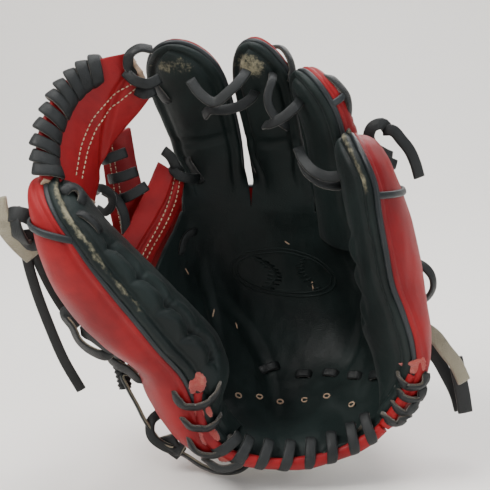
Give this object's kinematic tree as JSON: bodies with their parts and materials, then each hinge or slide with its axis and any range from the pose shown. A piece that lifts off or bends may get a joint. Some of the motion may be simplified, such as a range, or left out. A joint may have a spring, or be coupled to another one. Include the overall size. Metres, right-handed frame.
{
  "type": "baseball glove",
  "caption": "Left-hand fielder's baseball glove with an open laced web, padded heel and fingers, wrist strap, and thumb and finger sides that fold to close the pocket.",
  "frame": {"origin": "middle of the bottom of the bounding box, on the table under the heel that the glove stands on", "axes": "+Z from the heel to the fingertips, +X from the thumb to the little finger, -Y out of the open pocket"},
  "size_m": [0.302, 0.1608, 0.2558],
  "materials": {
    "black_leather": "worn full-grain leather with tan rubbed edges",
    "red_leather": "satin full-grain leather",
    "black_piping": "rolled leather welt",
    "lining_leather": "smooth natural lining leather",
    "lace": "rawhide lace, grain side black, flesh side grey-brown",
    "felt": "pressed wool felt",
    "fleece": "short synthetic fleece",
    "stiffener": "thin moulded plastic"
  },
  "bodies": {
    "root": {"palm_leather": "black_leather", "palm_felt": "felt", "palm_lining": "lining_leather", "heel_pad_thumb": "felt", "heel_pad_little": "felt", "wrist_strap": "red_leather", "wrist_strap_fleece": "fleece", "hand_back": "red_leather", "back_opening_binding": "black_piping", "heel_binding": "red_leather", "heel_lace": "lace", "pocket_lace": "lace", "index_front": "black_leather", "index_pad": "felt", "index_back": "red_leather", "index_welt": "black_piping", "middle_front": "black_leather", "middle_pad": "felt", "middle_back": "red_leather", "middle_welt": "black_piping", "middle_cross_welt": "black_piping", "index_middle_lace": "lace", "web_top_bar": "red_leather", "web_post": "red_leather", "web_bottom_bar": "red_leather", "web_wrap_lace": "lace", "web_post_lace": "lace", "web_index_lace": "lace"},
    "thumb": {"thumb_front": "black_leather", "thumb_pad": "felt", "thumb_back": "red_leather", "thumb_welt": "black_piping", "thumb_cross_welt": "black_piping", "thumb_stiffener": "stiffener", "thumb_loop": "lining_leather", "thumb_side_shell": "red_leather", "thumb_edge_binding": "red_leather", "thumb_edge_lace": "lace", "thumb_side_lace": "lace"},
    "thumb_tail": {"thumb_tail": "lace"},
    "ring": {"ring_front": "black_leather", "ring_pad": "felt", "ring_back": "red_leather", "ring_welt": "black_piping", "ring_cross_welt": "black_piping", "middle_ring_lace": "lace"},
    "little": {"little_front": "black_leather", "little_pad": "felt", "little_back": "red_leather", "little_welt": "black_piping", "little_cross_welt": "black_piping", "little_stiffener": "stiffener", "little_loop": "lining_leather", "little_side_shell": "red_leather", "little_edge_binding": "red_leather", "little_edge_lace": "lace", "little_side_knots": "lace", "ring_little_lace": "lace"},
    "tip_tail": {"tip_tail": "lace"},
    "heel_tail": {"heel_tail": "lace"}
  },
  "joints": [
    {"name": "thumb_fold", "type": "hinge", "parent": "root", "child": "thumb", "pos_m": [0.0039, -0.04992, 0.0136], "axis": [-0.3562, 0.4372, 0.8258], "range_deg": [-3, 22], "deforming": ["palm_leather", "web_top_bar", "web_post", "web_bottom_bar", "web_wrap_lace", "web_post_lace", "web_index_lace"]},
    {"name": "ring_fold", "type": "hinge", "parent": "root", "child": "ring", "pos_m": [0.0539, 0.01408, 0.2176], "axis": [0.1726, -0.1151, -0.9782], "range_deg": [0, 5], "deforming": ["middle_ring_lace"]},
    {"name": "little_fold", "type": "hinge", "parent": "ring", "child": "little", "pos_m": [0.0699, -0.02692, 0.1926], "axis": [0.2602, 0.0252, -0.9652], "range_deg": [0, 5], "deforming": ["ring_little_lace"]},
    {"name": "thumb_tail_swing", "type": "hinge", "parent": "thumb", "child": "thumb_tail", "pos_m": [-0.1241, -0.00792, 0.1456], "axis": [0, 1, 0], "range_deg": [-12, 20]},
    {"name": "tip_tail_swing", "type": "hinge", "parent": "little", "child": "tip_tail", "pos_m": [0.1019, -0.00792, 0.2066], "axis": [0, 1, 0], "range_deg": [-15, 12]},
    {"name": "heel_tail_swing", "type": "hinge", "parent": "little", "child": "heel_tail", "pos_m": [0.1229, -0.02092, 0.0796], "axis": [0, 1, 0], "range_deg": [-20, 12]}
  ],
  "couplings": [
    {"joint": "little_fold", "follows": "ring_fold", "ratio": 1}
  ]
}
